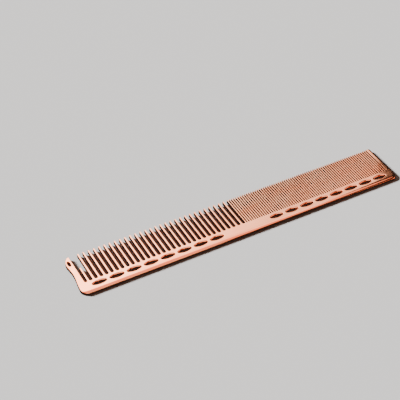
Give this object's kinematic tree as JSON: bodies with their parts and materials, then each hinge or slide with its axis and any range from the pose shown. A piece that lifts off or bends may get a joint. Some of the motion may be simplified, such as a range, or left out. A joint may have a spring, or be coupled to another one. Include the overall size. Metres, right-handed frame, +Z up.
{
  "type": "cutting comb",
  "caption": "Flat one-piece metal cutting comb with coarse and fine teeth, eye-shaped guide holes along a rolled spine, and a waisted parting guard with a small eye.",
  "frame": {"origin": "centre of the comb's box in plan, on the flat underside that it lies on", "axes": "+X along the comb from the parting guard to the fine teeth, +Y from the back edge to the tooth tips, +Z up through the plate"},
  "size_m": [0.1992, 0.0286, 0.0022],
  "materials": {
    "rose_gold_metal": "polished aluminium with a rose-gold anodised finish"
  },
  "bodies": {
    "root": {"spine_back_rail": "rose_gold_metal", "spine_root_rail": "rose_gold_metal", "guide_hole_webs": "rose_gold_metal", "spine_left_block": "rose_gold_metal", "spine_middle_block": "rose_gold_metal", "spine_right_block": "rose_gold_metal", "coarse_teeth": "rose_gold_metal", "fine_teeth": "rose_gold_metal", "short_tooth": "rose_gold_metal", "parting_guard": "rose_gold_metal", "end_guard": "rose_gold_metal"}
  },
  "joints": []
}
